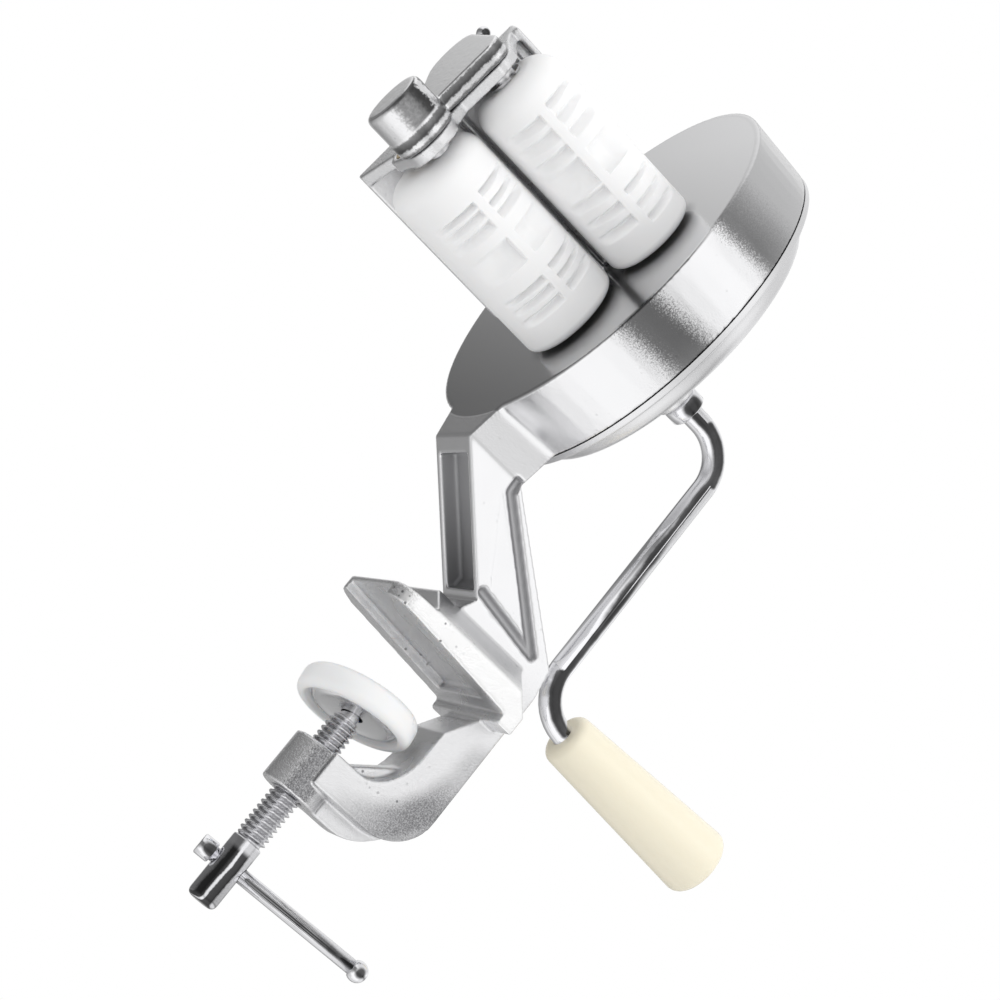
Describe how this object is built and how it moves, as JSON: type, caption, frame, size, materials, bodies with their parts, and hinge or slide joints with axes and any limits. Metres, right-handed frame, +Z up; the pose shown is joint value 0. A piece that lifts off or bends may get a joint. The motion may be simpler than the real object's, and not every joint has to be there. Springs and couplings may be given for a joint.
{
  "type": "hand cranked pasta shell roller",
  "caption": "Hand cranked kitchen tool: ridged rollers turned through gears in a round cast drum by a bent crank with a grip, on an arm with a screw clamp for a table edge.",
  "frame": {"origin": "on the clamp screw's axis, in the plane of the upper jaw's underside", "axes": "+Z up along the clamp screw, -Y towards the rollers, +Y towards the crank's grip, +X to the side on which the roller bracket sits"},
  "size_m": [0.104, 0.1961, 0.2346],
  "materials": {
    "cast_aluminium": "satin die casting, finely pitted on the unmachined sides",
    "cover_aluminium": "smooth satin",
    "latch_metal": "polished casting with soft streaks",
    "bearing_brass": "plain turned bushes",
    "shaft_steel": "ground shaft",
    "gear_metal": "sintered gear, dull",
    "fastener_steel": "zinc plated",
    "polished_steel": "plated rod, bright",
    "screw_steel": "plated clamp screw",
    "roller_plastic": "smooth white moulding",
    "grip_plastic": "ivory, softly glossy",
    "pad_metal": "pressed cup, bright",
    "pad_plastic": "translucent white cap"
  },
  "bodies": {
    "frame": {"frame_casting": "cast_aluminium", "rear_cover": "cover_aluminium", "cover_screws": "fastener_steel", "lower_front_bush": "bearing_brass", "upper_front_bush": "bearing_brass", "lower_drum_bush": "bearing_brass", "upper_drum_bush": "bearing_brass", "upper_rear_bush": "bearing_brass", "crank_bush": "bearing_brass", "latch_screw": "fastener_steel", "latch_nut": "fastener_steel"},
    "crank": {"crank_rod": "polished_steel", "crank_pinion": "gear_metal", "crank_collar": "polished_steel", "grip_washer": "polished_steel"},
    "grip": {"handle_grip": "grip_plastic"},
    "upper_roller": {"upper_roller": "roller_plastic", "upper_roller_shaft": "shaft_steel", "upper_roller_gear": "gear_metal", "drive_gear": "gear_metal", "upper_shaft_clip": "fastener_steel"},
    "lower_roller": {"lower_roller": "roller_plastic", "lower_roller_shaft": "shaft_steel", "lower_roller_gear": "gear_metal", "lower_shaft_clip": "fastener_steel"},
    "latch": {"roller_latch": "latch_metal", "latch_finger_pin": "polished_steel"},
    "pad": {"pad_cup": "pad_metal", "pad_cap": "pad_plastic"},
    "screw": {"clamp_screw": "screw_steel"},
    "tommy": {"tommy_bar": "polished_steel", "tommy_bar_knobs": "polished_steel"}
  },
  "joints": [
    {"name": "crank_turn", "type": "hinge", "parent": "frame", "child": "crank", "pos_m": [0, 0, 0.093], "axis": [0, 1, 0], "continuous": true},
    {"name": "grip_spin", "type": "hinge", "parent": "crank", "child": "grip", "pos_m": [0, 0.0731, 0.009], "axis": [0, 1, 0], "continuous": true},
    {"name": "upper_roller_turn", "type": "hinge", "parent": "frame", "child": "upper_roller", "pos_m": [0.02445, -0.05, 0.10737], "axis": [0, 1, 0], "continuous": true},
    {"name": "lower_roller_turn", "type": "hinge", "parent": "frame", "child": "lower_roller", "pos_m": [0.01588, -0.05, 0.08176], "axis": [0, 1, 0], "continuous": true},
    {"name": "latch_swing", "type": "hinge", "parent": "frame", "child": "latch", "pos_m": [0.02591, -0.088, 0.08273], "axis": [0, 1, 0], "range_deg": [0, 100]},
    {"name": "pad_travel", "type": "slide", "parent": "frame", "child": "pad", "axis": [0, 0, 1], "range_m": [-0.00351, 0.01351]},
    {"name": "screw_turn", "type": "hinge", "parent": "pad", "child": "screw", "pos_m": [0, 0, -0.045], "axis": [0, 0, 1], "range_deg": [-840, 3240]},
    {"name": "tommy_slide", "type": "slide", "parent": "screw", "child": "tommy", "axis": [0.3057, 0.9521, 0], "range_m": [-0.033, 0]}
  ],
  "couplings": [
    {"joint": "upper_roller_turn", "follows": "crank_turn", "ratio": -0.33333},
    {"joint": "lower_roller_turn", "follows": "crank_turn", "ratio": 0.33333},
    {"joint": "pad_travel", "follows": "screw_turn", "m_per_rad": 0.00023873}
  ]
}
